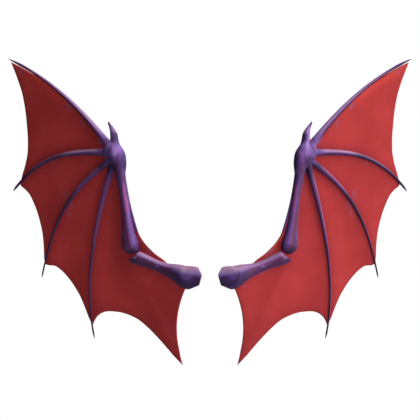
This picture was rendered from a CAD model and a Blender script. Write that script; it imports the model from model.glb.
# %% [markdown]
# # Costume bat wings
#
# A pair of wings that is worn on the back: red leathercloth, stretched over moulded foam bones that are
# painted purple by hand. The solids of the part are loaded first, as a fixed frame in metres: +X to the
# right as seen from the front, +Y away from the wearer's back, +Z up. The lesson then makes each piece of
# the right wing again in finer shape, paints it, and mirrors it for the left wing.

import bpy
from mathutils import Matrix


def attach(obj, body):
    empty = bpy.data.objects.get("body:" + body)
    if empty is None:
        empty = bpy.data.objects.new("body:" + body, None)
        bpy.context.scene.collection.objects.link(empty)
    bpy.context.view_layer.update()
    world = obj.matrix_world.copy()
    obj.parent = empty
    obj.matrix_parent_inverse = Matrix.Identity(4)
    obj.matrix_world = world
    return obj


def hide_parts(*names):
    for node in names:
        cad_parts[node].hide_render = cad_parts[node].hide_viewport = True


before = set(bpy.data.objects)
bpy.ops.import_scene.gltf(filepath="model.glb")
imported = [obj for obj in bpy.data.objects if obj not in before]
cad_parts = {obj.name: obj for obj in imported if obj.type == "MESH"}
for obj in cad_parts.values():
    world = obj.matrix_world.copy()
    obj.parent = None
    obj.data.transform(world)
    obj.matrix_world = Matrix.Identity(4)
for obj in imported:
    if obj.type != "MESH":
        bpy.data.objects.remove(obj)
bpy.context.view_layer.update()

# %% [markdown]
# ## The plan of a wing
#
# A bat's wing is a hand. Four long fingers fan out from the wrist, and the skin hangs between them, the
# folded arm and the body. So the plan is drawn first, as lines in the wing's own flat frame: x outward, z
# up, and y, the depth, away from the viewer. Lines could be Blender curves, but plain arrays of points are
# easier to blend into a sheet later, so a Catmull-Rom spline in numpy draws them.

# %% Smooth lines through a few points
import bmesh
import bpy
import numpy as np

LINE_COUNT = 241  # places along every smooth line


def smooth_line(points, count=LINE_COUNT):
    """A Catmull-Rom line through the points, sampled at count places"""
    points = np.array(points, float)
    ends = 2 * points[0] - points[1], 2 * points[-1] - points[-2]
    padded = np.vstack([ends[0], points, ends[1]])
    place = np.linspace(0, len(points) - 1, count)
    first = np.minimum(place.astype(int), len(points) - 2)
    t = (place - first)[:, None]
    a, b, c, d = (padded[first + k] for k in range(4))
    bends = (c - a) * t + (2 * a - 5 * b + 4 * c - d) * t**2 + (3 * b - a - 3 * c + d) * t**3
    return b + bends / 2


def point_at(line, share):
    """Places on a line at shares of its length from 0 to 1"""
    places = np.linspace(0, 1, len(line))
    return np.stack([np.interp(share, places, column) for column in line.T], axis=-1)


def smoothstep(value, low, high):
    """Rises smoothly from 0 at low to 1 at high"""
    t = np.clip((value - low) / (high - low), 0, 1)
    return t * t * (3 - 2 * t)


print("a smooth line has", len(smooth_line([(0, 0), (1, 0), (1, 1)])), "places")

# %% The lines of the fingers
from collections import namedtuple

# x and z of the root, length, heading in degrees above the horizontal and how far it bends; ease 1 bends
# mostly in the middle, and late above 1 bends towards the tip
Finger = namedtuple("Finger", "x z length heading bend ease late")
FINGERS = {
    "finger_1": Finger(0.2245, 0.2755, 0.3290, 50.2, -27.5, 0.0, 1.26),
    "finger_2": Finger(0.2220, 0.2635, 0.2715, 3.0, -47.9, 1.0, 1.20),
    "finger_3": Finger(0.2220, 0.2480, 0.3203, -31.7, -44.7, 1.0, 0.85),
    "finger_4": Finger(0.2175, 0.2440, 0.3906, -71.6, -31.3, 0.0, 1.73),
}
LINE_STEPS = 12


def finger_line(finger):
    """Walks out a finger in equal steps along its turning heading"""
    share = ((np.arange(LINE_STEPS) + 0.5) / LINE_STEPS) ** finger.late
    turned = share + (smoothstep(share, 0, 1) - share) * finger.ease
    angle = np.radians(finger.heading + finger.bend * turned)
    steps = np.column_stack([np.cos(angle), np.sin(angle)]) * finger.length / LINE_STEPS
    return smooth_line(np.vstack([[0, 0], np.cumsum(steps, axis=0)]) + [finger.x, finger.z])


for name, finger in FINGERS.items():
    print(name, "ends at", np.round(finger_line(finger)[-1], 3))

# %% The six lines that carry the skin
# the share of each finger that carries skin
WEBBED = {"finger_1": 0.9715, "finger_2": 0.91, "finger_3": 0.9015, "finger_4": 0.921}
FREE_EDGE_FROM, FREE_EDGE_TO = 0.45, 0.85  # shares of finger_1 between which the skin leaves it
FREE_EDGE_DROP = 0.0047  # by how much
ELBOW_FOLD = [(0.2085, 0.2335), (0.1975, 0.1615), (0.1855, 0.0705), (0.1385, -0.0505), (0.0640, -0.1885)]
FRONT_EDGE = [
    (0.1975, 0.2385), (0.1842, 0.1625), (0.1675, 0.1030), (0.1545, 0.0765), (0.1292, 0.0500),
    (0.0990, 0.0275), (0.0772, -0.0035), (0.0533, -0.0172),
]


def carrying_lines():
    """Fingers, elbow fold and front edge, each from the wrist to the hem"""
    share = np.linspace(0, 1, LINE_COUNT)
    lines = [point_at(finger_line(FINGERS[name]), share * webbed) for name, webbed in WEBBED.items()]
    along = np.gradient(lines[0], axis=0)
    right = np.column_stack([along[:, 1], -along[:, 0]]) / np.linalg.norm(along, axis=1)[:, None]
    lines[0] += right * FREE_EDGE_DROP * smoothstep(share, FREE_EDGE_FROM, FREE_EDGE_TO)[:, None]
    return lines + [smooth_line(ELBOW_FOLD), smooth_line(FRONT_EDGE)]


CARRYING = carrying_lines()
print("lines that carry the skin:", len(CARRYING))

# %% [markdown]
# ## The skin between the fingers
#
# The skin is one sheet of leathercloth with scalloped hems that are cut with blunt corners, and it bellies
# away from the viewer between the bones that hold it. Cloth simulation could stretch it, but the photograph
# settles where every edge lies, so each panel is a patch blended from its two bones and its hem. One grid is
# created for all five panels, and its vertices are laid on the patches. Solidify then gives the sheet its
# thickness.

# %% The panels of the skin
SHEET = 0.0018  # thickness of the leathercloth
BOW, BOW_AT, BOW_REACH = 0.012, 0.234, 0.225  # the wing bows away from the viewer, least at BOW_AT
# where the hem is drawn to as it leaves one bone and arrives at the next, and how deep the panel bellies
Panel = namedtuple("Panel", "leave arrive belly")
PANELS = [
    Panel((0.4340, 0.3815), (0.4160, 0.2660), 0.0040),
    Panel((0.4185, 0.1785), (0.3855, 0.0825), 0.0040),
    Panel((0.3550, 0.0290), (0.3050, -0.0280), 0.0040),
    Panel((0.2475, -0.0450), (0.1595, -0.0790), 0.0050),
    Panel((0.0850, -0.1410), (0.0900, -0.0770), 0.0015),
]
# the blunt corners of each hem: the share of the hem, and how far out from its curve it is cut there
HEM_CORNERS = [
    [(0.25, -0.0025), (0.50, 0.0005), (0.72, -0.0010), (0.90, 0.0020)],
    [(0.06, 0.0025), (0.23, -0.0025), (0.66, -0.0010), (0.92, 0.0025)],
    [(0.10, 0.0030), (0.24, -0.0015), (0.72, -0.0015), (0.94, 0.0020)],
    [(0.15, -0.0005), (0.37, 0.0015), (0.62, -0.0032), (0.94, 0.0020)],
    [(0.20, 0.0030), (0.80, 0.0015)],
]
LOBE_AT, LOBE_REACH, LOBE_BELLY = (0.138, -0.060), 0.050, 0.005  # below the elbow, two panels belly as one


def bow_at(x):
    """Depth of the wing at places x of the plan"""
    return BOW * ((x - BOW_AT) / BOW_REACH) ** 2


def lobe_at(plan):
    """How deep the lower lobe bellies at places (x, z) of the plan"""
    reach = np.linalg.norm(plan - np.array(LOBE_AT), axis=1) / LOBE_REACH
    return LOBE_BELLY * np.exp(-(reach**2))


print("panels:", len(PANELS), "bow at the tip:", round(bow_at(CARRYING[0][-1, 0]), 4), "m")

# %% A place on the skin
CORNER_POWER = 8  # the corners reach only a little way in from the hem
SEAM_SLACK = 1e-6  # a vertex this close to the next panel belongs to it


def panel_plan(panel, across, along):
    """Places (x, z) on a panel: across from one bone to the next, along from the wrist to the hem"""
    s, t = across[:, None], along[:, None]
    first, second = (point_at(CARRYING[panel + k], along) for k in (0, 1))
    start, end = CARRYING[panel][-1], CARRYING[panel + 1][-1]
    leave, arrive = np.array(PANELS[panel].leave), np.array(PANELS[panel].arrive)
    hem = start * (1 - s) ** 3 + 3 * s * (1 - s) * (leave * (1 - s) + arrive * s) + end * s**3
    straight_hem = start * (1 - s) + end * s
    run = (leave - start) * (1 - s) ** 2 + 2 * (arrive - leave) * s * (1 - s) + (end - arrive) * s**2
    outward = np.column_stack([-run[:, 1], run[:, 0]]) / np.linalg.norm(run, axis=1)[:, None]
    places, cuts = np.transpose([(0, 0), *HEM_CORNERS[panel], (1, 0)])
    corners = outward * np.interp(across, places, cuts)[:, None]
    return first * (1 - s) + second * s + (hem - straight_hem) * t**2 + corners * t**CORNER_POWER


def skin_places(across, along):
    """Places (x, y, z) on the middle of the skin, with across counted from 0 to the number of panels"""
    places = np.zeros((len(across), 3))
    panel = np.minimum((across + SEAM_SLACK).astype(int), len(PANELS) - 1)
    for k in range(len(PANELS)):
        here = panel == k
        s, t = across[here] - k, along[here]
        plan = panel_plan(k, s, t)
        belly = PANELS[k].belly * t * np.sin(np.pi * s) ** 2
        depth = bow_at(plan[:, 0]) + belly + lobe_at(plan)
        places[here] = np.column_stack([plan[:, 0], depth, plan[:, 1]])
    return places


print("lowest point of the skin:", np.round(skin_places(np.array([4.0]), np.array([1.0]))[0], 3))

# %% The grid, laid on the patches
PANEL_COLUMNS = 28
SKIN_ROWS = 66


def laid_skin():
    """The middle surface of the skin, with across and along kept on its vertices"""
    bm = bmesh.new()
    for name in ("across", "along"):
        bm.verts.layers.float.new(name)
    bmesh.ops.create_grid(bm, x_segments=len(PANELS) * PANEL_COLUMNS, y_segments=SKIN_ROWS, size=0.5)
    verts = list(bm.verts)
    unit = np.array([vert.co for vert in verts])
    across = np.clip((unit[:, 0] + 0.5) * len(PANELS), 0, len(PANELS))
    along = np.clip(unit[:, 1] + 0.5, 0, 1)
    layers = [bm.verts.layers.float[name] for name in ("across", "along")]
    for vert, place, s, t in zip(verts, skin_places(across, along), across, along):
        vert.co = place
        vert[layers[0]], vert[layers[1]] = s, t
    return bm


skin = laid_skin()
print("skin:", len(skin.verts), "vertices,", len(skin.faces), "faces")

# %% [markdown]
# ### Where the skin is darker, brighter and stained
#
# The paint on the skin follows the bones: it is darker where the cloth tucks in beside a bone, brighter
# along the free front edges, and a few mauve stains lie near the fingers where the bones' paint came off.
# Such places could be drawn with textures on the plan, but the distances are known here, so they are kept
# on the vertices as named attributes that the material can read.

# %% The stains
# x, z and the half sizes of each stain, its turn in degrees and how deep its colour is
Stain = namedtuple("Stain", "x z wide tall turn depth")
STAINS = [
    Stain(0.4478, 0.4474, 0.0040, 0.0085, -25, 0.55), Stain(0.3664, 0.3996, 0.0030, 0.0050, -20, 0.50),
    Stain(0.3279, 0.3680, 0.0058, 0.0088, -20, 0.75), Stain(0.2932, 0.3289, 0.0058, 0.0078, -20, 0.45),
    Stain(0.2528, 0.2896, 0.0040, 0.0090, -30, 0.55), Stain(0.3655, 0.2434, 0.0035, 0.0065, 0, 0.38),
    Stain(0.3358, 0.1733, 0.0065, 0.0095, 0, 0.38), Stain(0.3226, 0.1515, 0.0060, 0.0080, 0, 0.42),
    Stain(0.3274, 0.1340, 0.0040, 0.0085, 0, 0.40), Stain(0.1378, 0.0531, 0.0050, 0.0080, -35, 0.75),
    Stain(0.1193, 0.0070, 0.0060, 0.0042, 20, 0.30), Stain(0.0789, -0.0187, 0.0090, 0.0045, 25, 0.25),
]
STAIN_EDGE = 0.25  # width of a stain's soft edge, as a share of its size
STAIN_POWER = 4  # 2 makes a stain an ellipse, more makes it squarer


def stain_at(plan):
    """How deep the stains are at places (x, z), from 0 to 1"""
    depth = np.zeros(len(plan))
    for stain in STAINS:
        turn = np.radians(stain.turn)
        offset = plan - [stain.x, stain.z]
        u = offset[:, 0] * np.cos(turn) + offset[:, 1] * np.sin(turn)
        v = offset[:, 1] * np.cos(turn) - offset[:, 0] * np.sin(turn)
        powers = np.abs(u / stain.wide) ** STAIN_POWER + np.abs(v / stain.tall) ** STAIN_POWER
        reach = powers ** (1 / STAIN_POWER)
        depth = np.maximum(depth, stain.depth * smoothstep(-reach, -1 - STAIN_EDGE, -1 + STAIN_EDGE))
    return depth


print("stains:", len(STAINS), "deepest:", max(stain.depth for stain in STAINS))

# %% Distances to the bones, kept on the skin
LINE_SKIP = 4  # every fourth place of a line is close enough to measure from
TUCK_REACH = (0.014, 0.016, 0.018, 0.018, 0.040, 0.026)  # fingers 1 to 4, forearm, upper arm
LEAD_REACH, LEAD_RISE = 0.017, (0.27, 0.37)  # the bright rim beside finger 1, and the x where it starts
FRONT_REACH, FRONT_RISE = 0.0055, (0.028, 0.055)  # that of the front edge, and the heights where it starts
LOBE_TOP, LOBE_LOW = 0.02, -0.19  # heights between which the lower lobe turns darker
ARM_LINES = {
    "forearm": smooth_line([(0.205, 0.270), (0.200, 0.215), (0.187, 0.131), (0.176, 0.064)]),
    "upper_arm": smooth_line([(0.172, 0.035), (0.118, 0.023), (0.070, 0.008), (0.030, -0.002)]),
}


def distance_to(plan, line):
    """Distance from places (x, z) to the nearest place of a line"""
    return np.min(np.linalg.norm(plan[:, None] - line[None, ::LINE_SKIP], axis=2), axis=1)


def fading(distance, reach):
    """Falls off smoothly from 1 over about the given reach"""
    return np.exp(-((distance / reach) ** 2))


def mark_skin(bm):
    """Keeps the paint's guides on the vertices of the skin"""
    plan = np.array([(vert.co.x, vert.co.z) for vert in bm.verts])
    lines = [finger_line(finger) for finger in FINGERS.values()] + list(ARM_LINES.values())
    near = [distance_to(plan, line) for line in lines]
    lead_rim = fading(near[0], LEAD_REACH) * smoothstep(plan[:, 0], *LEAD_RISE)
    front_rim = fading(distance_to(plan, CARRYING[-1]), FRONT_REACH) * smoothstep(plan[:, 1], *FRONT_RISE)
    guides = {
        "tuck": np.max([fading(distance, reach) for distance, reach in zip(near, TUCK_REACH)], axis=0),
        "lead": lead_rim + front_rim,
        "stain": stain_at(plan),
        "lobe": 1 - smoothstep(plan[:, 1], LOBE_LOW, LOBE_TOP),
    }
    for name, values in guides.items():
        layer = bm.verts.layers.float.new(name)
        for vert, value in zip(bm.verts, values):
            vert[layer] = value


mark_skin(skin)
print("guides on the skin:", skin.verts.layers.float.keys())

# %% The thickness of the leathercloth
def thicken(bm, thickness):
    """Gives the sheet its thickness, evenly to both sides"""
    bmesh.ops.recalc_face_normals(bm, faces=bm.faces)
    for vert, normal in [(vert, vert.normal.copy()) for vert in bm.verts]:
        vert.co += normal * thickness / 2
    bmesh.ops.solidify(bm, geom=bm.faces[:], thickness=thickness)
    bmesh.ops.recalc_face_normals(bm, faces=bm.faces)


thicken(skin, SHEET)
print("thick skin:", len(skin.faces), "faces, volume", round(skin.calc_volume() * 1e6, 1), "cm3")

# %% [markdown]
# ## Bones from rings
#
# Each bone is a moulded foam bar, wide at its ends and slim between. A bone could be sculpted, or skinned
# over a chain of edges. Here a circle is extruded from ring to ring along the bone's spine, and every ring
# gets its own width, depth and place, which keeps the bone as smooth as its table of sections. The back of
# a bone lies on the skin, a glue line in front of it.

# %% Rings along a spine
GLUE_GAP = 0.0005
DOME_STEPS = 9
POLE = 0.03  # size of the last ring of a dome, as a share of the first
Rings = namedtuple("Rings", "centre along across wide deep share")


def unit_rows(rows):
    return rows / np.linalg.norm(rows, axis=1)[:, None]


def rings_through(centre, wide, deep):
    """Rings square to the line through their centres; across points to the right of its run"""
    along = unit_rows(np.gradient(centre, axis=0))
    across = unit_rows(np.column_stack([along[:, 2], np.zeros(len(along)), -along[:, 0]]))
    steps = np.linalg.norm(np.diff(centre, axis=0), axis=1)
    share = np.concatenate([[0], np.cumsum(steps)]) / steps.sum()
    return Rings(centre, along, across, wide, deep, share)


def domed(rings, start, end, lean=(0, 0)):
    """Closes a run of rings with a dome at each end; a lean starts its dome part way round"""

    def dome(k, length, first_angle):
        angle = np.linspace(first_angle, np.pi / 2, DOME_STEPS + 1)[1:]
        size = np.maximum(np.cos(angle) / np.cos(first_angle), POLE)
        climb = (np.sin(angle) - np.sin(first_angle)) / (1 - np.sin(first_angle))
        parts = [np.repeat(column[k][None], DOME_STEPS, axis=0) for column in rings]
        reach = parts[1] * (length * climb)[:, None]
        return Rings(parts[0] + reach, parts[1], parts[2], parts[3] * size, parts[4] * size, parts[5])

    first, last = dome(0, -start, lean[0]), dome(-1, end, lean[1])
    return Rings(*(np.concatenate([a[::-1], b, c]) for a, b, c in zip(first, rings, last)))


def seated(plan, deep, sink=0.0):
    """Centres of sections whose backs lie a glue line in front of the skin"""
    depth = bow_at(plan[:, 0]) - SHEET / 2 - GLUE_GAP - deep + sink
    return np.column_stack([plan[:, 0], depth, plan[:, 1]])


def bone_rings(sections, stations, caps, lean=(0, 0)):
    """Rings of a bone from its rows of x, z, half width, half depth and sink"""
    rows = smooth_line(sections, stations)
    centre = seated(rows[:, :2], rows[:, 3], rows[:, 4])
    return domed(rings_through(centre, rows[:, 2], rows[:, 3]), *caps, lean)


print("a dome has", DOME_STEPS, "rings")

# %% A circle, extruded from ring to ring
from math import atan2, cos, exp, pi, radians, sin

from mathutils import Matrix, Vector


def swell_at(turn, ridges):
    """How far a section's outline stands out at a turn from its across direction"""
    swell = 1.0
    for degrees, height, width in ridges:
        gap = (turn - radians(degrees) + pi) % (2 * pi) - pi
        swell += height * exp(-((gap / radians(width)) ** 2))
    return swell


def set_ring(verts, turn_layer, rings, k, ridges):
    """Moves a circle of vertices to ring k"""
    centre, across = Vector(rings.centre[k]), Vector(rings.across[k])
    for vert in verts:
        turn = vert[turn_layer]
        swell = swell_at(turn, ridges)
        vert.co = centre + across * (rings.wide[k] * cos(turn) * swell)
        vert.co.y += rings.deep[k] * sin(turn) * swell


def loft(rings, sides, ridges=()):
    """A closed bone: one circle, extruded through all the rings"""
    bm = bmesh.new()
    turn_layer = bm.verts.layers.float.new("turn")
    verts = bmesh.ops.create_circle(bm, segments=sides, radius=1.0)["verts"]
    for vert in verts:
        vert[turn_layer] = atan2(vert.co.y, vert.co.x)
    edges = list(bm.edges)
    set_ring(verts, turn_layer, rings, 0, ridges)
    for k in range(1, len(rings.share)):
        grown = bmesh.ops.extrude_edge_only(bm, edges=edges)["geom"]
        verts = [part for part in grown if isinstance(part, bmesh.types.BMVert)]
        fresh = set(verts)
        edges = [part for part in grown if isinstance(part, bmesh.types.BMEdge)]
        edges = [edge for edge in edges if fresh.issuperset(edge.verts)]
        set_ring(verts, turn_layer, rings, k, ridges)
    bmesh.ops.holes_fill(bm, edges=[edge for edge in bm.edges if edge.is_boundary], sides=0)
    bmesh.ops.recalc_face_normals(bm, faces=bm.faces)
    return bm


print("a ridge of 0.1 swells its section to", swell_at(0.0, [(0, 0.1, 20)]))

# %% Marks along and across a bone
LEAST_WIDE = 0.2  # rings narrower than this share of the widest mark nothing


def mark_bone(bm, rings):
    """Keeps how far along and across the bone each vertex lies, read from the nearest ring"""
    along_layer, across_layer = (bm.verts.layers.float.new(name) for name in ("along", "across"))
    verts = list(bm.verts)
    places = np.array([vert.co for vert in verts])
    keep = rings.wide > rings.wide.max() * LEAST_WIDE
    centre, _, across, wide, _, share = (column[keep] for column in rings)
    nearest = np.array([np.argmin(((centre - place) ** 2).sum(axis=1)) for place in places])
    sideways = ((places - centre[nearest]) * across[nearest]).sum(axis=1) / wide[nearest]
    for vert, k, side in zip(verts, nearest, sideways):
        vert[along_layer], vert[across_layer] = share[k], side


print("rings narrower than", LEAST_WIDE, "of the widest one mark nothing")

# %% [markdown]
# ## Forearm
#
# The forearm runs from the round head of the wrist down to the elbow. It is slimmest in its upper third,
# and a shallow groove runs down its front, as between the two bones of a real forearm. The groove is a dip
# in the outline of the rings, so no sculpting is needed.

# %% Forearm
FOREARM = [  # x, z, half width, half depth, sink
    (0.2130, 0.2795, 0.0072, 0.0086, 0), (0.2047, 0.2615, 0.0143, 0.0134, 0),
    (0.2005, 0.2430, 0.0138, 0.0124, 0), (0.1996, 0.2155, 0.0110, 0.0100, 0),
    (0.1937, 0.1745, 0.0088, 0.0086, 0), (0.1870, 0.1310, 0.0100, 0.0095, 0),
    (0.1812, 0.0935, 0.0136, 0.0114, 0), (0.1757, 0.0670, 0.0185, 0.0142, 0),
    (0.1716, 0.0540, 0.0146, 0.0104, 0),
]
FOREARM_CAPS = (0.0075, 0.0065)  # lengths of the domes
FOREARM_STATIONS, FOREARM_SIDES = 96, 48
FOREARM_RIDGES = [(-96, -0.07, 16), (-60, 0.03, 22), (-135, 0.03, 22)]  # degrees, height, width
HEAD_SLIM, HEAD_UNTIL = 0.84, (0.16, 0.32)  # the head is slimmer here, to lie inside the glove of the wrist
forearm_rings = bone_rings(FOREARM, FOREARM_STATIONS, FOREARM_CAPS)
slim = HEAD_SLIM + (1 - HEAD_SLIM) * smoothstep(forearm_rings.share, *HEAD_UNTIL)
slim_rings = forearm_rings._replace(wide=forearm_rings.wide * slim, deep=forearm_rings.deep * slim)
forearm = loft(slim_rings, FOREARM_SIDES, FOREARM_RIDGES)
mark_bone(forearm, forearm_rings)
print("forearm:", len(forearm.faces), "faces, volume", round(forearm.calc_volume() * 1e6, 1), "cm3")

# %% [markdown]
# ## Upper arm
#
# The upper arm is thick at the root knob, where the wing meets the back, and its outer end is scooped to
# clear the elbow. The scoop is a Boolean cut with a cylinder. Cuts with blocks make the flat front of the
# knob that rests on the wearer's back, and the blunt facets around its end. A bevel on every cut edge would
# work as well, but a voxel remesh and a few rounds of smoothing soften them all at once, as moulded foam is
# soft at its edges.

# %% One skin from several shells
SMOOTH_FACTOR = 0.5  # how far a round of smoothing moves a vertex to the middle of its neighbours


def shell_object(name, bm):
    """A scene object that holds a bmesh, for modifiers to work on"""
    mesh = bpy.data.meshes.new(name)
    bm.to_mesh(mesh)
    holder = bpy.data.objects.new(name, mesh)
    bpy.context.scene.collection.objects.link(holder)
    return holder


def remeshed(bm, voxel, rounds, cutters=()):
    """One even, softened skin around the shells, less what the cutters take"""
    holder = shell_object("holder", bm)
    helpers = [holder]
    for cutter in cutters:
        helpers.append(shell_object("cutter", cutter))
        cut = holder.modifiers.new("cut", "BOOLEAN")
        cut.operation, cut.solver, cut.object = "DIFFERENCE", "EXACT", helpers[-1]
    remesh = holder.modifiers.new("skin", "REMESH")
    remesh.mode, remesh.voxel_size = "VOXEL", voxel
    even = bmesh.new()
    even.from_object(holder, bpy.context.evaluated_depsgraph_get())
    for helper in helpers:
        bpy.data.meshes.remove(helper.data)
    for _ in range(rounds):
        bmesh.ops.smooth_vert(
            even, verts=even.verts, factor=SMOOTH_FACTOR, use_axis_x=True, use_axis_y=True, use_axis_z=True
        )
    bmesh.ops.recalc_face_normals(even, faces=even.faces)
    return even


print("each round of smoothing moves a vertex by", SMOOTH_FACTOR, "of its way")

# %% The rings of the upper arm
UPPER_ARM = [  # x, z, half width, half depth, sink
    (0.1705, 0.0426, 0.0143, 0.0113, 0), (0.1620, 0.0394, 0.0143, 0.0116, 0),
    (0.1525, 0.0362, 0.0142, 0.0118, 0), (0.1405, 0.0322, 0.0128, 0.0108, 0),
    (0.1180, 0.0234, 0.0114, 0.0103, 0), (0.0940, 0.0148, 0.0134, 0.0116, 0),
    (0.0700, 0.0080, 0.0186, 0.0148, 0), (0.0497, -0.0004, 0.0242, 0.0195, 0.0055),
    (0.0346, -0.0018, 0.0240, 0.0225, 0.0074), (0.0200, -0.0028, 0.0215, 0.0225, 0.0074),
]
UPPER_ARM_CAPS, UPPER_ARM_LEAN = (0.006, 0.0065), (0, radians(35))
UPPER_ARM_RIDGES = [(-62, 0.10, 20), (-18, -0.05, 24), (-115, -0.04, 30), (180, 0.05, 25)]
UPPER_ARM_STATIONS, UPPER_ARM_SIDES = 90, 64
upper_arm_rings = bone_rings(UPPER_ARM, UPPER_ARM_STATIONS, UPPER_ARM_CAPS, UPPER_ARM_LEAN)
upper_arm_shell = loft(upper_arm_rings, UPPER_ARM_SIDES, UPPER_ARM_RIDGES)
print("upper arm before its cuts: volume", round(upper_arm_shell.calc_volume() * 1e6, 1), "cm3")

# %% The scooped end, the flat seat and the facets of the knob
SCOOP_AT, SCOOP_RADIUS, SCOOP_DEPTH, SCOOP_SIDES = (0.1767, 0.0592), 0.0214, 0.08, 96
BLOCK_SIZE = 0.4  # of the blocks that cut the seat and the facets
# corners between the facets, as x and z in the part's frame
KNOB_CORNERS = [(0.0254, 0.0207), (0.0168, 0.0033), (0.0226, -0.0176), (0.0428, -0.0263)]
BONE_VOXEL, BONE_ROUNDS = 0.0010, 4  # size of the remeshed faces, and rounds of smoothing
SWEEP = radians(20)  # how far each wing leans back from the wearer
STANDOFF = 0.0045  # from the wearer's back to the middle of the wing's own frame
WING = Matrix.Translation((0, STANDOFF, 0)) @ Matrix.Rotation(SWEEP, 4, "Z")


def block_cutter(place):
    """A block whose back face lies on the plane y = 0 of a place in the part's frame"""
    bm = bmesh.new()
    bmesh.ops.create_cube(bm, size=BLOCK_SIZE, matrix=place @ Matrix.Translation((0, -BLOCK_SIZE / 2, 0)))
    bm.transform(WING.inverted())
    return bm


def facet_cutters():
    """Blocks that cut the knob's round end to blunt facets between its corners"""
    for (x0, z0), (x1, z1) in zip(KNOB_CORNERS, KNOB_CORNERS[1:]):
        turn = Matrix.Rotation(atan2(x1 - x0, z1 - z0), 4, "Y") @ Matrix.Rotation(radians(90), 4, "Z")
        yield block_cutter(Matrix.Translation(((x0 + x1) / 2, 0, (z0 + z1) / 2)) @ turn)


def scoop():
    """A cylinder through the wing that takes the scoop out of the outer end"""
    bm = bmesh.new()
    through = Matrix.Translation((SCOOP_AT[0], 0, SCOOP_AT[1])) @ Matrix.Rotation(radians(90), 4, "X")
    bmesh.ops.create_cone(
        bm, cap_ends=True, segments=SCOOP_SIDES, radius1=SCOOP_RADIUS, radius2=SCOOP_RADIUS,
        depth=SCOOP_DEPTH, matrix=through,
    )
    return bm


arm_cutters = [scoop(), block_cutter(Matrix()), *facet_cutters()]
upper_arm = remeshed(upper_arm_shell, BONE_VOXEL, BONE_ROUNDS, arm_cutters)
mark_bone(upper_arm, upper_arm_rings)
print("upper arm:", len(upper_arm.faces), "faces, volume", round(upper_arm.calc_volume() * 1e6, 1), "cm3")

# %% [markdown]
# ## Fingers, thumb claw and tendon
#
# The four fingers are long thin bones that swell where they meet the palm and run out to a point a little
# past the hem. The claw of the thumb stands up from the wrist. The tendon edges the front of the skin
# beside the forearm, and thins to a fine cord below it. All of them are the same loft with other rings.

# %% Fingers
# radius beside the palm and just short of the point, the power that it thins by, the flare into the palm,
# and the share of the finger where its point starts
Shaft = namedtuple("Shaft", "radius tip taper flare point")
SHAFTS = {
    "finger_1": Shaft(0.0082, 0.0031, 2.1, 0.0033, 0.89),
    "finger_2": Shaft(0.0075, 0.0024, 1.1, 0.0042, 0.95),
    "finger_3": Shaft(0.0076, 0.0018, 1.9, 0.0015, 0.965),
    "finger_4": Shaft(0.0080, 0.0019, 2.1, 0.0, 0.965),
}
FLARE_FADE = 0.014  # how fast a finger's flare fades along it
POINT_POWER = 0.6  # 1 makes the point a straight cone, less makes it fuller
RING_CROWD = 1.15  # above 1, the rings lie closer together beside the palm
FINGER_STATIONS, FINGER_SIDES = 110, 20


def finger_rings(name, stations, until=1.0, grow=0.0):
    """Rings of a finger, from the palm until a share of its length, grown at the palm end"""
    finger, shaft = FINGERS[name], SHAFTS[name]
    share = until * np.linspace(0, 1, stations) ** RING_CROWD
    plan = point_at(finger_line(finger), share)
    thin = shaft.tip + (shaft.radius - shaft.tip) * (1 - share) ** shaft.taper
    point = np.clip((1 - share) / (1 - shaft.point), POLE**2, 1) ** POINT_POWER
    radius = (thin + shaft.flare * np.exp(-share * finger.length / FLARE_FADE)) * point
    size = radius + grow * (1 - 2 * share / until)
    return rings_through(seated(plan, radius), size, size)


fingers = {}
for name in FINGERS:
    rings = finger_rings(name, FINGER_STATIONS)
    fingers[name] = loft(rings, FINGER_SIDES)
    mark_bone(fingers[name], rings)
    print(name, len(fingers[name].faces), "faces")

# %% Thumb claw
THUMB_CLAW = [  # x, z, half width, half depth, sink
    (0.2110, 0.2772, 0.0090, 0.0081, -0.002), (0.2147, 0.2906, 0.0092, 0.0076, -0.001),
    (0.2171, 0.3025, 0.0084, 0.0067, 0), (0.2225, 0.3140, 0.0055, 0.0048, 0.001),
    (0.2299, 0.3248, 0.0027, 0.0023, 0.002),
]
THUMB_RIDGES = [(-100, 0.10, 28), (-40, -0.04, 25), (-160, -0.04, 25)]
THUMB_CAPS = (0.003, 0.0075)
THUMB_STATIONS, THUMB_SIDES = 48, 32
thumb_rings = bone_rings(THUMB_CLAW, THUMB_STATIONS, THUMB_CAPS)
thumb_claw = loft(thumb_rings, THUMB_SIDES, THUMB_RIDGES)
mark_bone(thumb_claw, thumb_rings)
print("thumb claw:", len(thumb_claw.faces), "faces")

# %% Front tendon
TENDON_FROM, TENDON_TO = 0.02, 0.593  # shares of the front edge
TENDON_RADIUS, TENDON_TIP = 0.0023, 0.0007
TENDON_THINS = (0.42, 0.68)  # shares of the tendon between which it thins to a fine cord
TENDON_INSET = 0.1  # how far it is set in from the edge, in radii
TENDON_STATIONS, TENDON_SIDES = 90, 12


def tendon_rings():
    """Rings along the front edge of the skin, from the wrist to beside the elbow"""
    share = np.linspace(0, 1, TENDON_STATIONS)
    radius = TENDON_RADIUS + (TENDON_TIP - TENDON_RADIUS) * smoothstep(share, *TENDON_THINS)
    plan = point_at(CARRYING[-1], TENDON_FROM + (TENDON_TO - TENDON_FROM) * share)
    plan[:, 0] += TENDON_INSET * radius
    return domed(rings_through(seated(plan, radius), radius, radius), TENDON_RADIUS, 2 * TENDON_TIP)


front_tendon = loft(tendon_rings(), TENDON_SIDES)
mark_bone(front_tendon, tendon_rings())
print("front tendon:", len(front_tendon.faces), "faces")

# %% [markdown]
# ## The palm
#
# At the wrist, the fingers, the thumb and the forearm grow out of one lump, with smooth hollows between
# them. Separate bones that only touch would show hard lines there. So short stubs of all of them are
# joined with the lump of the palm and remeshed into one glove. Each stub is a little thicker than its bone
# at the palm and a little thinner at its far end, so the bones come out of the glove without a step.

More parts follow.
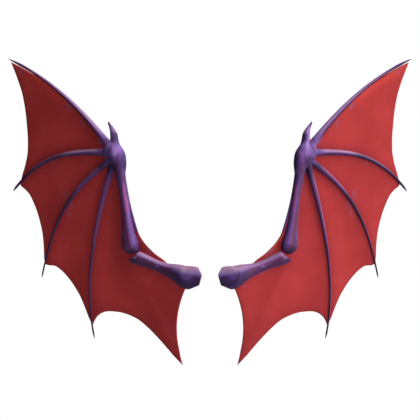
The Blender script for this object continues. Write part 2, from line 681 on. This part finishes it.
# %% The lumps of the palm
PALM = [  # x, z, half width, half depth, sink
    (0.2282, 0.2848, 0.0081, 0.0086, 0), (0.2252, 0.2720, 0.0124, 0.0134, 0),
    (0.2224, 0.2546, 0.0124, 0.0124, 0), (0.2157, 0.2382, 0.0076, 0.0086, 0),
]
CORE = [  # the lump that joins the palm and the head of the forearm
    (0.2165, 0.2816, 0.0095, 0.0095, 0), (0.2131, 0.2701, 0.0181, 0.0148, 0),
    (0.2110, 0.2539, 0.0171, 0.0143, 0), (0.2067, 0.2338, 0.0105, 0.0105, 0),
]
CORE_RIDGES = [(-78, 0.07, 20)]
LUMP_STATIONS, LUMP_CAPS = 30, (0.005, 0.005)
PALM_SIDES, CORE_SIDES = 32, 48
core_rings = bone_rings(CORE, LUMP_STATIONS, LUMP_CAPS)
palm_lump = loft(bone_rings(PALM, LUMP_STATIONS, LUMP_CAPS), PALM_SIDES)
lumps = [palm_lump, loft(core_rings, CORE_SIDES, CORE_RIDGES)]
print("lumps of the palm:", [round(lump.calc_volume() * 1e6, 1) for lump in lumps], "cm3")

# %% Palm as a glove over the roots
GLOVE = 0.0007  # how much thicker than its bone a stub starts
STUB_FALL = 2.5  # from there to its far end, a stub thins by this many gloves
STUB_LENGTH, STUB_STATIONS = 0.044, 24  # of the fingers
# shares of the bone where its stub starts to thin, and where it ends
FOREARM_STUB, THUMB_STUB = (0.2, 0.36), (0.0, 0.4)
GLOVE_VOXEL, GLOVE_ROUNDS = 0.0009, 9


def stub_rings(rings, hold, until):
    """The first rings of a bone: thicker than the bone up to a share of it, then soon thinner"""
    kept = rings.share <= until
    change = GLOVE * (1 - STUB_FALL * smoothstep(rings.share[kept], hold, until))
    wide, deep = (np.maximum(size[kept] + change, POLE * GLOVE) for size in (rings.wide, rings.deep))
    return Rings(rings.centre[kept], rings.along[kept], rings.across[kept], wide, deep, rings.share[kept])


def joined(parts):
    """Several bmeshes in one"""
    whole = bmesh.new()
    for part in parts:
        mesh = bpy.data.meshes.new("part")
        part.to_mesh(mesh)
        whole.from_mesh(mesh)
        bpy.data.meshes.remove(mesh)
    return whole


stubs = [
    loft(stub_rings(forearm_rings, *FOREARM_STUB), FOREARM_SIDES),
    loft(stub_rings(thumb_rings, *THUMB_STUB), THUMB_SIDES),
]
for name, finger in FINGERS.items():
    stubs.append(loft(finger_rings(name, STUB_STATIONS, STUB_LENGTH / finger.length, GLOVE), FINGER_SIDES))
palm = remeshed(joined(lumps + stubs), GLOVE_VOXEL, GLOVE_ROUNDS)
core_run = Rings(*(column[DOME_STEPS:-DOME_STEPS] for column in core_rings))  # without its domes
mark_bone(palm, core_run)
print("palm:", len(palm.faces), "faces, volume", round(palm.calc_volume() * 1e6, 1), "cm3")

# %% [markdown]
# ## Paint
#
# The bones are sprayed dark purple and then brushed with lighter bands along their length: lavender where
# light would catch the top, maroon and blue violet on the sides. Painted image maps could hold that, but
# bands that follow the marks on the vertices stay sharp at any size. A shader node group makes what every
# bone shares, the wander of the brush and the grain of the foam, and each bone adds its own bands.

# %% Helpers for shader nodes
def add_node(tree, kind, inputs=(), **settings):
    """Adds a node; each input is given a value, or a socket to be linked from"""
    made = tree.nodes.new(kind)
    for name, value in settings.items():
        setattr(made, name, value)
    for name, value in dict(inputs).items():
        if isinstance(value, bpy.types.NodeSocket):
            tree.links.new(value, made.inputs[name])
        else:
            made.inputs[name].default_value = value
    return made


def maths(tree, operation, first, second=0.0):
    """One sum with two values or sockets"""
    return add_node(tree, "ShaderNodeMath", {0: first, 1: second}, operation=operation).outputs[0]


def rise(tree, value, low, high):
    """Rises smoothly from 0 to 1 as the value goes from low to high"""
    limits = {"Value": value, "From Min": low, "From Max": high}
    return add_node(tree, "ShaderNodeMapRange", limits, interpolation_type="SMOOTHSTEP").outputs[0]


def spread(tree, value, low, high, first, last):
    """Goes evenly from first to last as the value goes from low to high"""
    limits = {"Value": value, "From Min": low, "From Max": high, "To Min": first, "To Max": last}
    return add_node(tree, "ShaderNodeMapRange", limits).outputs[0]


def noise(tree, place, scale, detail):
    """A cloudy noise around 0.5"""
    look = {"Vector": place, "Scale": scale, "Detail": detail}
    return add_node(tree, "ShaderNodeTexNoise", look).outputs[0]


def weighed(tree, *parts):
    """Adds up pairs of a socket and its weight"""
    total = None
    for socket, weight in parts:
        part = maths(tree, "MULTIPLY", socket, weight)
        total = maths(tree, "ADD", total, part) if total else part
    return total


print("node helpers:", [helper.__name__ for helper in (maths, rise, spread, noise, weighed)])

# %% Helpers for colours and groups
def blend(tree, share, first, second):
    """Mixes two colours by a share that changes over the surface"""
    return add_node(tree, "ShaderNodeMix", {0: share, 6: first, 7: second}, data_type="RGBA").outputs[2]


def paint(red, green, blue):
    """A colour as a painter's chart names it, 0 to 255, in the linear values that shaders use"""
    levels = np.array([red, green, blue]) / 255
    linear = np.where(levels <= 0.04045, levels / 12.92, ((levels + 0.055) / 1.055) ** 2.4)
    return (*linear, 1.0)


def mark(tree, name):
    """The socket of a mark that was kept on the vertices"""
    return add_node(tree, "ShaderNodeAttribute", attribute_name=name).outputs["Fac"]


def new_group(name, inputs, outputs):
    """A shader node group with float sockets, and its input and output nodes"""
    tree = bpy.data.node_groups.new(name, "ShaderNodeTree")
    for direction, names in (("INPUT", inputs), ("OUTPUT", outputs)):
        for socket in names:
            tree.interface.new_socket(name=socket, in_out=direction, socket_type="NodeSocketFloat")
    return tree, tree.nodes.new("NodeGroupInput"), tree.nodes.new("NodeGroupOutput")


print("mid purple is", [round(v, 3) for v in paint(107, 74, 138)])

# %% What all painted bones share
# scales along and across a bone, and through its foam
STROKE_SCALE, STROKE_DETAIL = (28, 2.6, 1), 3.0
BRISTLE_SCALE, BRISTLE_DETAIL = (90, 14, 1), 2.0
CLOUD_SCALE, CLOUD_DETAIL = 70.0, 4.0
PORE_SCALE, PORE_DETAIL = 900.0, 2.0
CLOUD_PIGMENT, BRISTLE_PIGMENT = 0.6, 0.4  # weights in the unevenness of the paint
BRISTLE_HEIGHT, PORE_HEIGHT, CLOUD_HEIGHT = 0.5, 0.3, 0.8  # weights in the relief


def make_brushed_foam():
    """Wandering brush bands, mottled pigment and the pores of moulded foam"""
    inputs, outputs = ("Along", "Across", "Length", "Waver"), ("Band", "Pigment", "Height")
    tree, given, result = new_group("brushed_foam", inputs, outputs)
    reach = maths(tree, "MULTIPLY", given.outputs["Along"], given.outputs["Length"])
    strokes = add_node(tree, "ShaderNodeCombineXYZ", {"X": reach, "Y": given.outputs["Across"]}).outputs[0]
    stretch, fine_stretch = (
        add_node(tree, "ShaderNodeMapping", {"Vector": strokes, "Scale": scale}).outputs[0]
        for scale in (STROKE_SCALE, BRISTLE_SCALE)
    )
    wander = maths(tree, "SUBTRACT", noise(tree, stretch, 1.0, STROKE_DETAIL), 0.5)
    shift = maths(tree, "MULTIPLY", wander, given.outputs["Waver"])
    place = add_node(tree, "ShaderNodeTexCoord").outputs["Object"]
    cloud = noise(tree, place, CLOUD_SCALE, CLOUD_DETAIL)
    bristle = noise(tree, fine_stretch, 1.0, BRISTLE_DETAIL)
    pores = noise(tree, place, PORE_SCALE, PORE_DETAIL)
    made = {
        "Band": maths(tree, "ADD", given.outputs["Across"], shift),
        "Pigment": weighed(tree, (cloud, CLOUD_PIGMENT), (bristle, BRISTLE_PIGMENT)),
        "Height": weighed(tree, (bristle, BRISTLE_HEIGHT), (pores, PORE_HEIGHT), (cloud, CLOUD_HEIGHT)),
    }
    for name, socket in made.items():
        tree.links.new(socket, result.inputs[name])
    return tree


BRUSHED_FOAM = make_brushed_foam()
print("group:", BRUSHED_FOAM.name, "with", len(BRUSHED_FOAM.nodes), "nodes")

# %% A dab of paint
DAB_PLACES = ("At along", "At across", "Half along", "Half across")
DAB_SOLID, DAB_GONE = 0.5, 1.3  # squared shares of its half sizes between which a dab fades out


def make_dab():
    """A soft-edged dab of paint at a place along and across a bone"""
    tree, given, result = new_group("dab", ("Along", "Across", *DAB_PLACES), ("Mask",))
    squares = []
    for axis in ("along", "across"):
        gap = maths(tree, "SUBTRACT", given.outputs[axis.capitalize()], given.outputs[f"At {axis}"])
        share = maths(tree, "DIVIDE", gap, given.outputs[f"Half {axis}"])
        squares.append(maths(tree, "MULTIPLY", share, share))
    inward = maths(tree, "MULTIPLY", maths(tree, "ADD", *squares), -1.0)
    tree.links.new(rise(tree, inward, -DAB_GONE, -DAB_SOLID), result.inputs["Mask"])
    return tree


DAB = make_dab()
print("group:", DAB.name, "with", len(DAB.nodes), "nodes")

# %% Bands of colour across a bone
def band_colours(tree, band, rows):
    """Bands of colour across a bone, from rows of place, red, green and blue"""
    first, last = rows[0][0], rows[-1][0]
    ramp = add_node(tree, "ShaderNodeValToRGB", {"Fac": spread(tree, band, first, last, 0.0, 1.0)})
    stops = ramp.color_ramp.elements
    while len(stops) < len(rows):
        stops.new(0.5)
    for stop, (place, *colour) in zip(stops, rows):
        stop.position = (place - first) / (last - first)
        stop.color = paint(*colour)
    return ramp.outputs[0]


def dress(made, colour, rough, bump, shine):
    """Gives a material's surface its colour, roughness, relief and shine"""
    tree = made.node_tree
    surface = tree.nodes["Principled BSDF"]
    tree.links.new(colour, surface.inputs["Base Color"])
    tree.links.new(rough, surface.inputs["Roughness"])
    tree.links.new(add_node(tree, "ShaderNodeBump", bump).outputs[0], surface.inputs["Normal"])
    surface.inputs["Specular IOR Level"].default_value = shine


print("surface helpers:", [helper.__name__ for helper in (band_colours, dress)])

# %% A painted bone
BONE_ROUGH, BONE_ROUGH_WORN = 0.38, 0.58
PIGMENT_LOW, PIGMENT_HIGH = 0.3, 0.7  # the unevenness of the paint shows between these
WORN_DEPTH, WORN_PAINT = 0.16, (52, 32, 66)  # how much of the undercoat shows where the paint is thin
BONE_BUMP, BONE_BUMP_DEPTH = 0.35, 0.0008
BONE_SHINE = 0.15


def bone_paint(name, length, waver, zones, dabs=()):
    """A painted bone: zones of bands that follow each other along it, then dabs on top

    length, waver: how long its brush strokes run, in metres, and how far its bands wander
    zones: rows of (start, end, bands), where a zone fades in from start to end along the bone
    dabs: rows of (along, across, half along, half across, strength, colour)
    """
    made = bpy.data.materials.new(name)
    made.use_nodes = True
    tree = made.node_tree
    along = mark(tree, "along")
    strokes = {"Along": along, "Across": mark(tree, "across"), "Length": length, "Waver": waver}
    foam = add_node(tree, "ShaderNodeGroup", strokes, node_tree=BRUSHED_FOAM)
    band, pigment, height = (foam.outputs[socket] for socket in ("Band", "Pigment", "Height"))
    colour = None
    for start, end, rows in zones:
        bands = band_colours(tree, band, rows)
        colour = blend(tree, rise(tree, along, start, end), colour, bands) if colour else bands
    for *places, strength, dab_colour in dabs:
        sockets = {"Along": along, "Across": band, **dict(zip(DAB_PLACES, places))}
        mask = add_node(tree, "ShaderNodeGroup", sockets, node_tree=DAB).outputs[0]
        colour = blend(tree, maths(tree, "MULTIPLY", mask, strength), colour, paint(*dab_colour))
    worn = maths(tree, "SUBTRACT", 1.0, rise(tree, pigment, PIGMENT_LOW, PIGMENT_HIGH))
    colour = blend(tree, maths(tree, "MULTIPLY", worn, WORN_DEPTH), colour, paint(*WORN_PAINT))
    rough = spread(tree, pigment, PIGMENT_LOW, PIGMENT_HIGH, BONE_ROUGH_WORN, BONE_ROUGH)
    bump = {"Strength": BONE_BUMP, "Distance": BONE_BUMP_DEPTH, "Height": height}
    dress(made, colour, rough, bump, BONE_SHINE)
    return made


print("roughness of the paint:", BONE_ROUGH, "to", BONE_ROUGH_WORN)

# %% Wrist paint
# bands: across the lump from its outer side, -1, to its inner edge, +1; the forearm leaves it inside of 0
CROWN_BANDS = [
    (-1.2, 116, 80, 146), (-0.45, 126, 87, 157), (0.0, 157, 121, 190), (0.2, 174, 138, 206),
    (0.45, 138, 102, 168), (0.8, 130, 93, 158), (1.1, 106, 72, 134), (1.3, 72, 46, 102),
]
EGG_BANDS = [
    (-1.2, 102, 71, 134), (-0.45, 112, 76, 142), (0.0, 138, 97, 175), (0.2, 174, 132, 210),
    (0.45, 168, 126, 208), (0.8, 150, 108, 190), (1.1, 114, 77, 148), (1.3, 66, 42, 98),
]
SHADE_BANDS = [
    (-1.2, 92, 61, 118), (-0.45, 80, 51, 102), (0.0, 96, 63, 124), (0.45, 117, 80, 147),
    (0.9, 130, 89, 163), (1.2, 98, 64, 128), (1.4, 62, 40, 92),
]
ROOT_BANDS = [
    (-1.0, 56, 35, 74), (-0.4, 67, 42, 90), (0.2, 88, 48, 95), (0.65, 100, 60, 118),
    (1.15, 104, 68, 128), (1.5, 88, 57, 114), (1.75, 58, 36, 88),
]
PALM_ZONES = [
    (0, 0, CROWN_BANDS), (0.1, 0.32, EGG_BANDS), (0.42, 0.62, SHADE_BANDS), (0.66, 0.9, ROOT_BANDS),
]
CREASE = ((0.62, -0.42), (0.74, -0.22), (0.86, -0.02))  # along and across
CREASE_LOOK = (0.12, 0.15, 0.55, (54, 33, 74))  # half sizes, strength and colour of a dab
CREASE_DABS = [(*place, *CREASE_LOOK) for place in CREASE]
palm_paint = bone_paint("palm_paint", length=0.06, waver=0.25, zones=PALM_ZONES, dabs=CREASE_DABS)
print("wrist zones:", len(PALM_ZONES))

# %% Forearm paint
# bands: from the outer edge, -1, to the inner edge, +1
NECK_BANDS = [
    (-1.0, 70, 43, 90), (-0.45, 84, 46, 93), (0.0, 102, 60, 118), (0.45, 108, 70, 132),
    (0.8, 92, 59, 118), (1.0, 60, 37, 90),
]
FLANK_BANDS = [
    (-1.0, 92, 57, 106), (-0.6, 90, 51, 100), (-0.25, 94, 55, 109), (0.0, 121, 63, 117),
    (0.2, 121, 76, 146), (0.45, 140, 85, 154), (0.62, 170, 90, 150), (0.85, 156, 79, 142),
    (1.0, 64, 38, 92),
]
SHANK_BANDS = [
    (-1.0, 98, 62, 112), (-0.75, 89, 50, 100), (-0.6, 96, 44, 85), (-0.1, 103, 51, 96),
    (0.22, 124, 60, 101), (0.3, 130, 82, 151), (0.6, 130, 89, 164), (0.85, 123, 84, 156),
    (1.0, 71, 43, 105),
]
ELBOW_BANDS = [
    (-1.0, 63, 39, 85), (-0.2, 51, 31, 67), (0.2, 60, 35, 73), (0.7, 83, 54, 108), (1.0, 65, 41, 93),
]
FOREARM_ZONES = [
    (0, 0, NECK_BANDS), (0.34, 0.44, FLANK_BANDS), (0.6, 0.66, SHANK_BANDS), (0.93, 0.99, ELBOW_BANDS),
]
FOREARM_DABS = [(0.84, -0.55, 0.06, 0.22, 0.7, (88, 62, 132))]
forearm_paint = bone_paint("forearm_paint", length=0.25, waver=0.4, zones=FOREARM_ZONES, dabs=FOREARM_DABS)
print("forearm zones:", len(FOREARM_ZONES))

# %% Upper arm paint
# bands: from the lower edge, -1, to the upper edge, +1
SHAFT_BANDS = [
    (-1.0, 86, 53, 107), (-0.8, 66, 40, 90), (-0.55, 73, 37, 76), (-0.2, 84, 41, 82),
    (0.05, 101, 50, 95), (0.28, 116, 57, 104), (0.4, 130, 85, 143), (0.55, 161, 125, 183),
    (0.75, 175, 131, 181), (0.95, 178, 127, 159), (1.05, 150, 105, 138),
]
KNOB_BANDS = [
    (-1.0, 58, 37, 80), (-0.6, 54, 34, 75), (-0.15, 66, 42, 90), (0.1, 84, 56, 114),
    (0.24, 106, 78, 144), (0.42, 146, 116, 176), (0.64, 172, 132, 178), (0.8, 188, 140, 180),
    (1.05, 168, 120, 158),
]
UPPER_ARM_DABS = [
    (0.393, 0.05, 0.028, 0.3, 0.85, (128, 94, 166)), (0.374, -0.12, 0.05, 0.13, 0.8, (118, 82, 156)),
    (0.441, -0.25, 0.05, 0.22, 0.6, (76, 49, 108)), (0.766, 0.72, 0.05, 0.25, 0.5, (200, 162, 192)),
    (0.038, 0.12, 0.05, 0.3, 0.45, (176, 140, 188)), (0.838, 0.06, 0.07, 0.26, 0.6, (106, 70, 138)),
    (0.97, -0.3, 0.05, 0.5, 0.5, (48, 29, 66)),
]
UPPER_ARM_ZONES = [(0, 0, SHAFT_BANDS), (0.556, 0.709, KNOB_BANDS)]
upper_arm_paint = bone_paint(
    "upper_arm_paint", length=0.17, waver=0.25, zones=UPPER_ARM_ZONES, dabs=UPPER_ARM_DABS
)
print("upper arm dabs:", len(UPPER_ARM_DABS))

# %% Paint of the first two fingers
# bands: from the upper or outer edge, -1, to the lower or inner edge, +1
LEAD_ROOT_BANDS = [
    (-1.0, 150, 113, 180), (-0.4, 138, 100, 172), (0.0, 118, 82, 150), (1.0, 84, 53, 106),
]
LEAD_BANDS = [
    (-1.0, 162, 120, 158), (-0.6, 188, 146, 206), (-0.25, 166, 121, 184), (0.05, 126, 81, 142),
    (0.3, 74, 42, 88), (0.55, 48, 25, 58), (1.0, 40, 21, 50),
]
LEAD_OUTER_BANDS = [
    (-1.0, 172, 127, 164), (-0.5, 160, 112, 160), (0.0, 130, 83, 134), (0.3, 70, 39, 80),
    (0.6, 43, 23, 54), (1.0, 40, 22, 50),
]
SECOND_ROOT_BANDS = [(-1.0, 124, 88, 152), (0.0, 108, 74, 138), (1.0, 80, 52, 108)]
SECOND_BANDS = [
    (-1.0, 160, 96, 118), (-0.5, 181, 137, 176), (-0.2, 172, 133, 184), (0.05, 137, 97, 149),
    (0.3, 91, 59, 106), (0.55, 76, 47, 95), (1.0, 67, 45, 100),
]
SECOND_OUTER_BANDS = [
    (-1.0, 134, 78, 98), (-0.4, 124, 88, 125), (0.0, 82, 55, 94), (0.3, 58, 34, 70), (1.0, 62, 39, 80),
]
TIP_BANDS = [(-1.0, 86, 47, 92), (-0.2, 56, 28, 66), (0.4, 43, 21, 54), (1.0, 48, 25, 62)]
LEAD_TIP_BANDS = [(-1.0, 132, 84, 146), (-0.3, 94, 50, 112), (0.2, 54, 24, 70), (1.0, 58, 27, 76)]
FINGER_WAVER = 0.3
lead_paint = bone_paint("lead_paint", length=0.33, waver=FINGER_WAVER, zones=[
    (0, 0, LEAD_ROOT_BANDS), (0.06, 0.17, LEAD_BANDS),
    (0.42, 0.65, LEAD_OUTER_BANDS), (0.72, 0.88, LEAD_TIP_BANDS),
])
second_paint = bone_paint("second_paint", length=0.27, waver=FINGER_WAVER, zones=[
    (0, 0, SECOND_ROOT_BANDS), (0.07, 0.17, SECOND_BANDS),
    (0.34, 0.48, SECOND_OUTER_BANDS), (0.66, 0.85, TIP_BANDS),
])
print("paints of the upper fingers:", lead_paint.name, "and", second_paint.name)

# %% Paint of the lower two fingers
LOWER_ROOT_BANDS = [(-1.0, 70, 46, 92), (0.0, 66, 43, 86), (1.0, 60, 39, 80)]
THIRD_BANDS = [
    (-1.0, 142, 80, 106), (-0.35, 138, 82, 122), (0.0, 118, 74, 124), (0.3, 93, 56, 107),
    (1.0, 72, 46, 102),
]
THIRD_OUTER_BANDS = [(-1.0, 90, 56, 86), (0.0, 59, 35, 69), (0.5, 49, 30, 63), (1.0, 57, 36, 69)]
FOURTH_BANDS = [
    (-1.0, 134, 80, 112), (-0.35, 126, 77, 124), (0.0, 116, 69, 121), (0.3, 108, 63, 113),
    (0.6, 96, 57, 107), (1.0, 84, 51, 101),
]
FOURTH_OUTER_BANDS = [(-1.0, 98, 54, 82), (0.0, 81, 42, 86), (0.5, 74, 38, 80), (1.0, 76, 42, 82)]
third_paint = bone_paint("third_paint", length=0.32, waver=FINGER_WAVER, zones=[
    (0, 0, LOWER_ROOT_BANDS), (0.06, 0.14, THIRD_BANDS),
    (0.3, 0.42, THIRD_OUTER_BANDS), (0.62, 0.82, TIP_BANDS),
])
fourth_paint = bone_paint("fourth_paint", length=0.39, waver=FINGER_WAVER, zones=[
    (0, 0, LOWER_ROOT_BANDS), (0.05, 0.12, FOURTH_BANDS),
    (0.36, 0.55, FOURTH_OUTER_BANDS), (0.72, 0.92, TIP_BANDS),
])
print("paints of the lower fingers:", third_paint.name, "and", fourth_paint.name)

# %% Claw and tendon paint
CLAW_ROOT_BANDS = [
    (-1.0, 90, 60, 120), (-0.4, 132, 96, 168), (0.1, 164, 127, 198), (0.6, 134, 96, 166),
    (1.0, 112, 77, 144),
]
CLAW_BANDS = [
    (-1.0, 67, 42, 93), (-0.5, 84, 56, 112), (0.0, 114, 81, 142), (0.35, 148, 110, 178),
    (0.75, 124, 88, 154), (1.0, 92, 62, 124),
]
CLAW_TOP_BANDS = [
    (-1.0, 146, 114, 176), (-0.2, 164, 128, 190), (0.2, 158, 122, 188), (0.65, 132, 98, 166),
    (1.0, 84, 60, 114),
]
CLAW_TIP_BANDS = [(-1.0, 124, 98, 146), (0.0, 106, 78, 130), (1.0, 78, 56, 102)]
claw_paint = bone_paint("claw_paint", length=0.06, waver=FINGER_WAVER, zones=[
    (0, 0, CLAW_ROOT_BANDS), (0.1, 0.26, CLAW_BANDS),
    (0.42, 0.62, CLAW_TOP_BANDS), (0.78, 0.95, CLAW_TIP_BANDS),
])
TENDON_BANDS = [(-1.0, 112, 76, 148), (0.0, 108, 72, 142), (1.0, 112, 76, 148)]
CORD_BANDS = [(-1.0, 160, 96, 112), (0.0, 156, 84, 96), (1.0, 160, 96, 112)]
tendon_paint = bone_paint("tendon_paint", length=0.25, waver=FINGER_WAVER, zones=[
    (0, 0, TENDON_BANDS), (0.64, 0.74, CORD_BANDS),
])
print("bone paints:", len(bpy.data.materials))

# %% [markdown]
# ## Leathercloth
#
# The skin is soft red leathercloth: a fine pebble grain, a matt surface, and colour that is darker beside
# the bones and brighter at the leading edge. A Voronoi texture gives the pebbles, and two noises the uneven
# dye. The marks that were kept on the vertices place the rest.

# %% The red leathercloth
DYE_SCALE, DYE_DETAIL, DYE_LOW, DYE_HIGH = 13.0, 4.0, 0.3, 0.7  # the dye is uneven between low and high
DYE_DARK, DYE_LIGHT = (176, 55, 56), (190, 61, 62)
FLECK_SCALE, FLECK_DETAIL, FLECK_LOW, FLECK_HIGH = 160.0, 3.0, 0.55, 0.75
PEBBLE_SCALE = 520.0
PEBBLE_HEIGHT, FLECK_HEIGHT = 0.6, 0.5  # weights in the relief
HEM_FROM = 0.93  # share of the way to the hem where its darker edge starts
SKIN_ROUGH_DARK, SKIN_ROUGH_LIGHT = 0.70, 0.56
SKIN_BUMP, SKIN_BUMP_DEPTH = 0.25, 0.0005
SKIN_SHINE = 0.05


def leathercloth():
    """Red leathercloth with tucked, bright and stained places"""
    made = bpy.data.materials.new("red_leathercloth")
    made.use_nodes = True
    tree = made.node_tree
    place = add_node(tree, "ShaderNodeTexCoord").outputs["Object"]
    dye = noise(tree, place, DYE_SCALE, DYE_DETAIL)
    fleck = noise(tree, place, FLECK_SCALE, FLECK_DETAIL)
    tints = [  # where, how much of it and in which colour
        (mark(tree, "lobe"), 0.8, (152, 48, 53)),
        (mark(tree, "tuck"), 0.6, (148, 46, 55)),
        (mark(tree, "lead"), 0.9, (232, 76, 68)),
        (rise(tree, mark(tree, "along"), HEM_FROM, 1.0), 0.3, (146, 42, 44)),
        (mark(tree, "stain"), 1.0, (164, 82, 110)),
        (rise(tree, fleck, FLECK_LOW, FLECK_HIGH), 0.12, (120, 34, 38)),
    ]
    colour = blend(tree, rise(tree, dye, DYE_LOW, DYE_HIGH), paint(*DYE_DARK), paint(*DYE_LIGHT))
    for mask, share, tint in tints:
        colour = blend(tree, maths(tree, "MULTIPLY", mask, share), colour, paint(*tint))
    rough = spread(tree, dye, DYE_LOW, DYE_HIGH, SKIN_ROUGH_DARK, SKIN_ROUGH_LIGHT)
    cells = add_node(tree, "ShaderNodeTexVoronoi", {"Vector": place, "Scale": PEBBLE_SCALE})
    height = weighed(tree, (cells.outputs["Distance"], PEBBLE_HEIGHT), (fleck, FLECK_HEIGHT))
    bump = {"Strength": SKIN_BUMP, "Distance": SKIN_BUMP_DEPTH, "Height": height}
    dress(made, colour, rough, bump, SKIN_SHINE)
    return made


red_leathercloth = leathercloth()
print("leathercloth has", len(red_leathercloth.node_tree.nodes), "nodes")

# %% [markdown]
# ## Both wings
#
# The right wing leans back from the wearer, and the left wing is its mirror image. Each bmesh is turned to
# its place and written to a mesh of its own. A mirrored mesh is inside out, so its faces are turned over.
# Every piece rides on the part's only body and replaces the plain solid of the same name.

# %% Place, mirror and name the pieces
MIRROR = Matrix.Scale(-1, 4, (1, 0, 0))
QUAD = 4  # sides of a face that is part of a smooth surface, at most


def add_pair(name, bm, material):
    """Writes a piece for each wing, from one bmesh in the right wing's own frame"""
    pair = {}
    bm.transform(WING)
    for face in bm.faces:
        face.smooth = len(face.verts) <= QUAD  # the round end faces of a loft stay flat
    for side in ("right", "left"):
        if side == "left":
            bm.transform(MIRROR)
            bmesh.ops.reverse_faces(bm, faces=bm.faces)
        mesh = bpy.data.meshes.new(f"{side}_{name}_skin")
        bm.to_mesh(mesh)
        mesh.materials.append(material)
        piece = bpy.data.objects.new(f"{side}_{name}_skin", mesh)
        bpy.context.scene.collection.objects.link(piece)
        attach(piece, "root")
        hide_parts(f"{side}_{name}")
        pair[side] = piece
    return pair


BONES = {
    "forearm": (forearm, forearm_paint), "upper_arm": (upper_arm, upper_arm_paint),
    "palm": (palm, palm_paint), "thumb_claw": (thumb_claw, claw_paint),
    "front_tendon": (front_tendon, tendon_paint),
    "finger_1": (fingers["finger_1"], lead_paint), "finger_2": (fingers["finger_2"], second_paint),
    "finger_3": (fingers["finger_3"], third_paint), "finger_4": (fingers["finger_4"], fourth_paint),
}
bones = {name: add_pair(name, shape, material) for name, (shape, material) in BONES.items()}
skins = add_pair("membrane", skin, red_leathercloth)
print("pieces:", 2 * (len(bones) + 1))

# %% [markdown]
# ## Light, floor and camera
#
# The photograph has a white background, and its light comes from the right and a little above, so the wing
# on the right is bright and the one on the left lies mostly in its own shade. One soft sun could give that,
# but it would draw shadows beside every bone, and the photograph has hardly any. So two suns share the
# light from that side, and only the weaker one casts shadows. The world is white where the camera sees it
# and dim where it lights the wings. The floor lies at the height where the wearer would stand.

# %% Lamps
scene = bpy.context.scene
scene.view_settings.view_transform = "Standard"
KEY_AZIMUTH, KEY_HEIGHT = radians(82), radians(24)  # to the right of the viewer, and above
KEY_STRENGTH, KEY_SPREAD = 5.2, radians(110)
LAMP_DISTANCE = 4.0
# share of the light, and if it casts shadows
LAMPS = {"key_lamp": (0.2, True), "fill_lamp": (0.8, False)}
key_level = cos(KEY_HEIGHT)
key_from = Vector((sin(KEY_AZIMUTH) * key_level, -cos(KEY_AZIMUTH) * key_level, sin(KEY_HEIGHT)))
for name, (share, shadows) in LAMPS.items():
    light = bpy.data.lights.new(name, "SUN")
    light.energy, light.angle, light.use_shadow = KEY_STRENGTH * share, KEY_SPREAD, shadows
    lamp = bpy.data.objects.new(name, light)
    lamp.location = key_from * LAMP_DISTANCE
    lamp.rotation_euler = key_from.to_track_quat("Z", "Y").to_euler()
    scene.collection.objects.link(lamp)
print("lamps from", [round(v, 2) for v in key_from], "with", KEY_STRENGTH)

# %% World
SKY_LOW, SKY_HIGH = 0.05, 0.10  # light from straight below and from straight above
world = bpy.data.worlds.new("studio")
world.use_nodes = True
scene.world = world
sky_tree = world.node_tree
sky = sky_tree.nodes["Background"]
sky.inputs["Color"].default_value = (1, 1, 1, 1)
direction = add_node(sky_tree, "ShaderNodeTexCoord").outputs["Generated"]
upward = add_node(sky_tree, "ShaderNodeSeparateXYZ", {0: direction}).outputs["Z"]
dim = spread(sky_tree, upward, -1, 1, SKY_LOW, SKY_HIGH)
seen = add_node(sky_tree, "ShaderNodeLightPath").outputs["Is Camera Ray"]
sky_tree.links.new(maths(sky_tree, "MAXIMUM", dim, seen), sky.inputs["Strength"])
print("sky:", SKY_LOW, "to", SKY_HIGH)

# %% Floor
FLOOR_HEIGHT = -1.2
FLOOR_RADIUS, FLOOR_SIDES = 2.2, 96
FLOOR_TONE, FLOOR_ROUGH = (232, 232, 230), 0.8
floor_shape = bmesh.new()
bmesh.ops.create_circle(floor_shape, cap_ends=True, segments=FLOOR_SIDES, radius=FLOOR_RADIUS)
bmesh.ops.translate(floor_shape, verts=floor_shape.verts, vec=(0, 0, FLOOR_HEIGHT))
floor_mesh = bpy.data.meshes.new("floor")
floor_shape.to_mesh(floor_mesh)
floor_paint = bpy.data.materials.new("pale_floor")
floor_paint.use_nodes = True
floor_surface = floor_paint.node_tree.nodes["Principled BSDF"]
floor_surface.inputs["Base Color"].default_value = paint(*FLOOR_TONE)
floor_surface.inputs["Roughness"].default_value = FLOOR_ROUGH
floor_mesh.materials.append(floor_paint)
floor = bpy.data.objects.new("floor", floor_mesh)
scene.collection.objects.link(floor)
print("floor at", FLOOR_HEIGHT, "m")

# %% Camera
CAMERA_DISTANCE, CAMERA_HEIGHT = 3.2, 0.1406
FRAME_WIDTH = 0.882  # of the picture, at the origin
SENSOR_WIDTH = 36.0
camera_data = bpy.data.cameras.new("camera")
camera_data.sensor_width = SENSOR_WIDTH
camera_data.lens = SENSOR_WIDTH * CAMERA_DISTANCE / FRAME_WIDTH
camera = bpy.data.objects.new("camera", camera_data)
camera.location = (0, -CAMERA_DISTANCE, CAMERA_HEIGHT)
camera.rotation_euler = (radians(90), 0, 0)
scene.collection.objects.link(camera)
scene.camera = camera
print("lens", round(camera_data.lens, 1), "mm")
